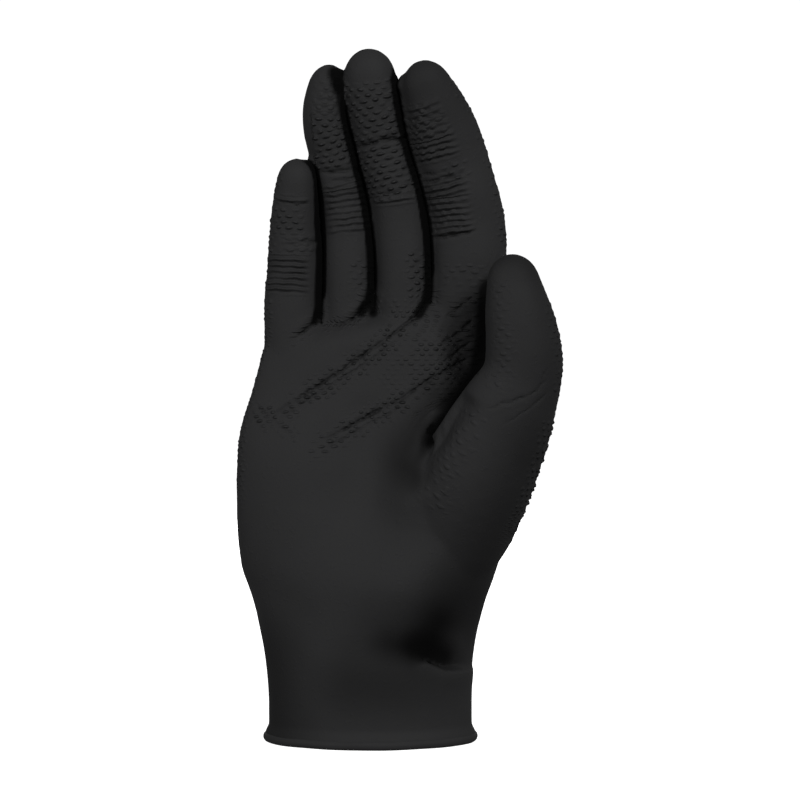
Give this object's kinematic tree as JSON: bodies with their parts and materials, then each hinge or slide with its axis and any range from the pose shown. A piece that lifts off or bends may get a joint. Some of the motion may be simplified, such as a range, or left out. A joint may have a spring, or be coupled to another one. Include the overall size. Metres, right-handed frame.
{
  "type": "nitrile exam glove",
  "caption": "Disposable black nitrile glove in its worn form, palm and thumb forward, textured grip on the fingers and palm, smooth cuff with a rolled rim.",
  "frame": {"origin": "centre of the cuff opening, in the plane of the rolled rim's lowest edge", "axes": "+Z from the cuff to the fingertips, -Y out of the palm, +X towards the thumb"},
  "size_m": [0.1119, 0.0682, 0.2406],
  "materials": {
    "nitrile": "satin black, dipped film"
  },
  "bodies": {
    "root": {"glove": "nitrile"}
  },
  "joints": []
}
